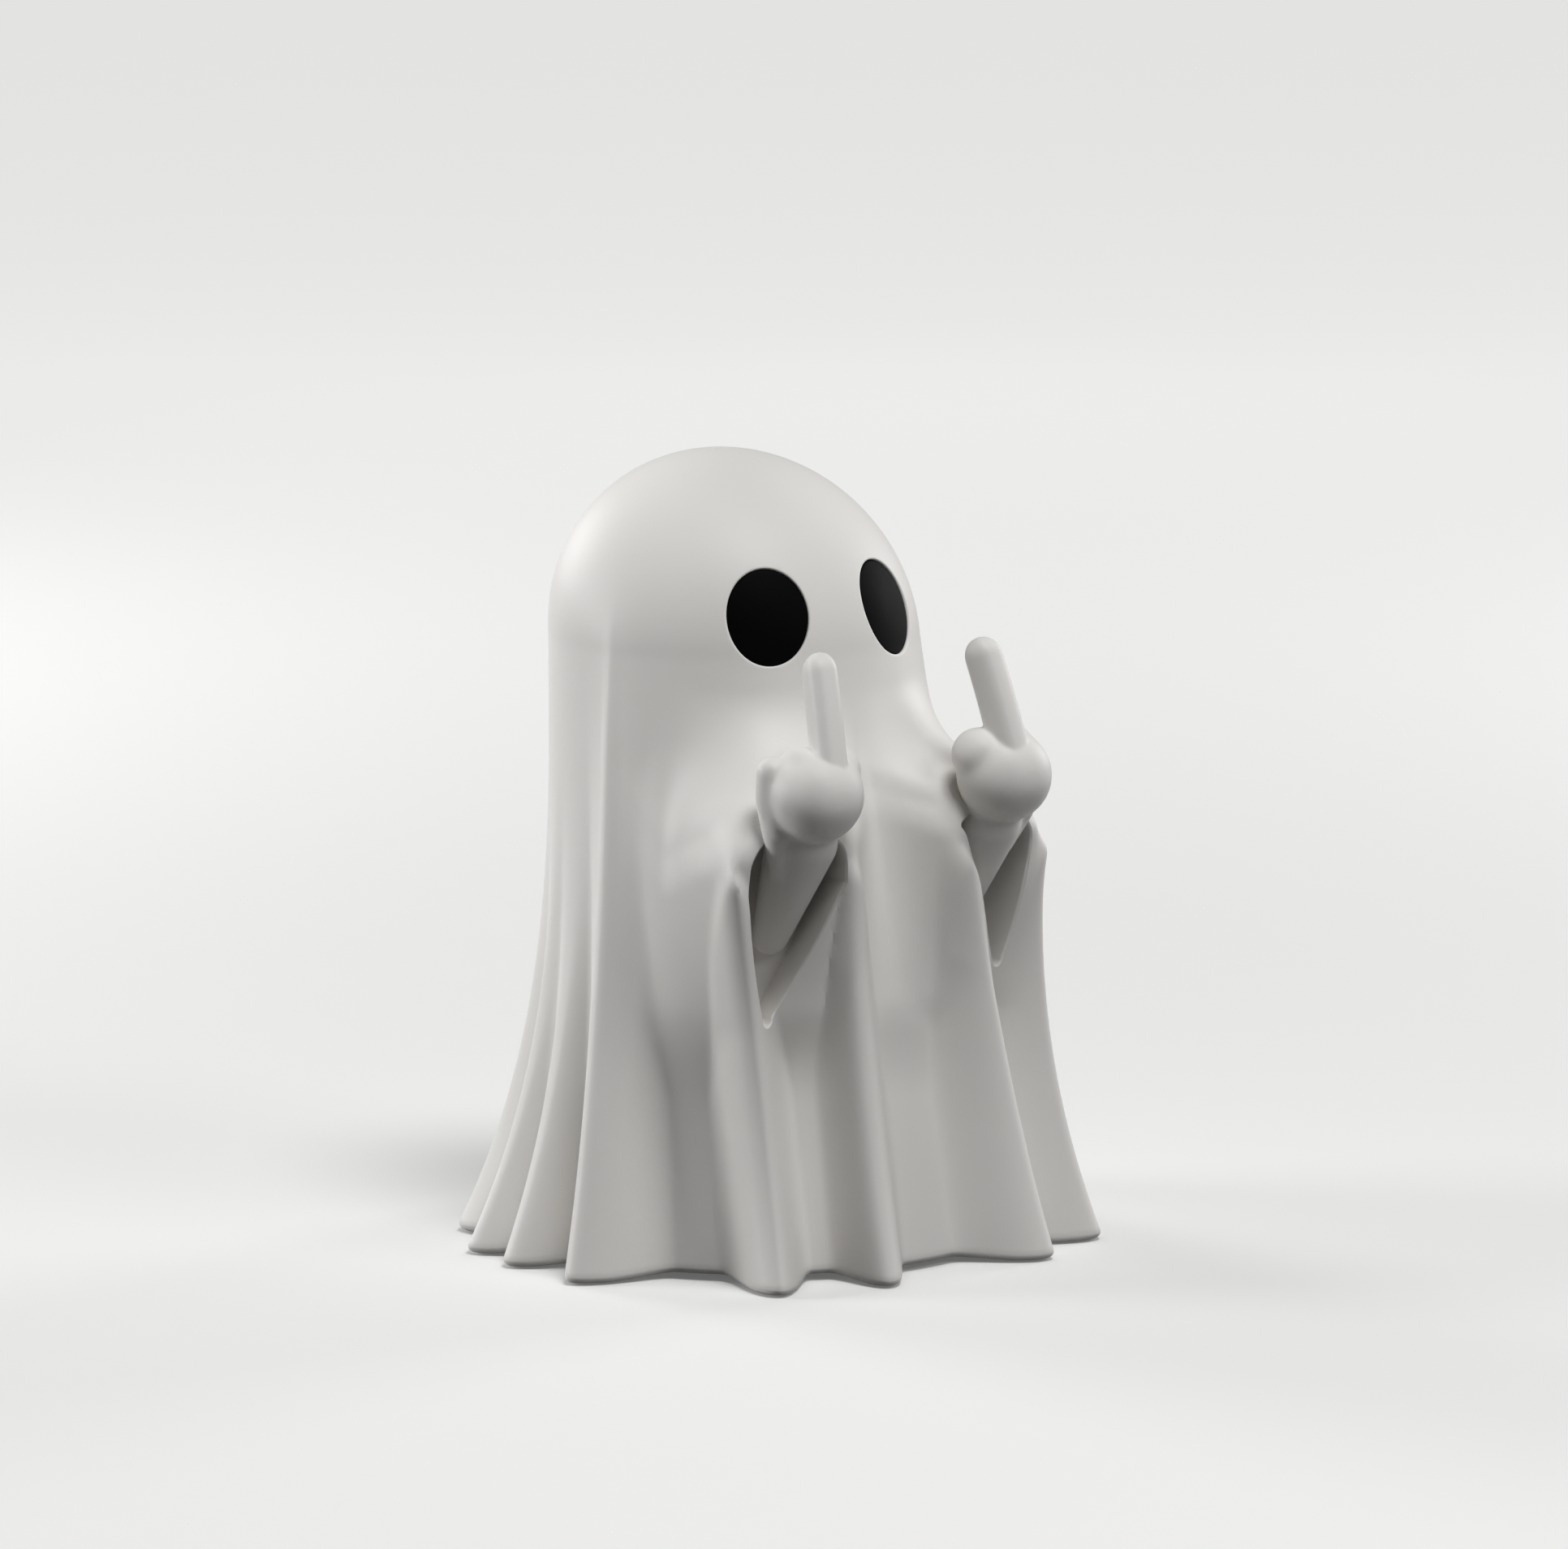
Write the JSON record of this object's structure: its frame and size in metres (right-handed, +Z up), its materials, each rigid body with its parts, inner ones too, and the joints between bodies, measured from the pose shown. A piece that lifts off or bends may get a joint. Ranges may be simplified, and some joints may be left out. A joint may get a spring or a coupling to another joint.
{
  "type": "ghost figurine",
  "caption": "Free-standing white ghost figurine with a draped sheet body, black oval eyes and raised hands, on a felt-backed base.",
  "frame": {"origin": "on the flat underside of the felt pad, at the table, where the axis of the sheet's body meets it", "axes": "+Z up, the face looks along -Y, +X is the ghost's own left"},
  "size_m": [0.1202, 0.1165, 0.152],
  "materials": {
    "cast_white": "satin painted casting resin",
    "eye_black": "semi-gloss",
    "dowel_beech": "bare",
    "felt_black": "pressed felt"
  },
  "bodies": {
    "root": {"sheet_shell": "cast_white", "right_hand": "cast_white", "left_hand": "cast_white", "base_plate": "cast_white", "right_eye": "eye_black", "left_eye": "eye_black", "right_arm_dowel": "dowel_beech", "left_arm_dowel": "dowel_beech", "felt_pad": "felt_black"}
  },
  "joints": []
}
